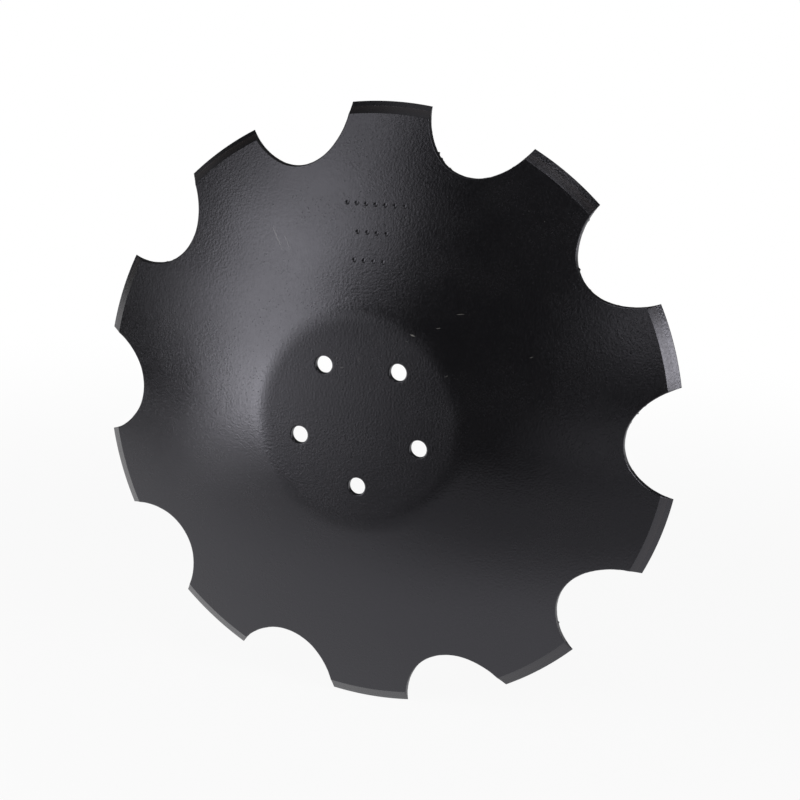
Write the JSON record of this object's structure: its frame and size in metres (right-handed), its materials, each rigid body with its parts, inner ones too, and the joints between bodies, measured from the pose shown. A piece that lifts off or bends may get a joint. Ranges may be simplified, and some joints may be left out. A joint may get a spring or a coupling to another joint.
{
  "type": "harrow disc",
  "caption": "Notched, dished steel harrow disc with a flat hub seat, a circle of bolt holes and a bevelled cutting edge on its convex side.",
  "frame": {"origin": "centre of the flat hub seat on the convex side, on the disc's axis", "axes": "+Y along the disc's axis from the convex side to the concave side, +Z through the middle of one tooth"},
  "size_m": [0.4526, 0.0485, 0.46],
  "materials": {
    "black_paint": "satin"
  },
  "bodies": {
    "root": {"disc_blade": "black_paint"}
  },
  "joints": []
}
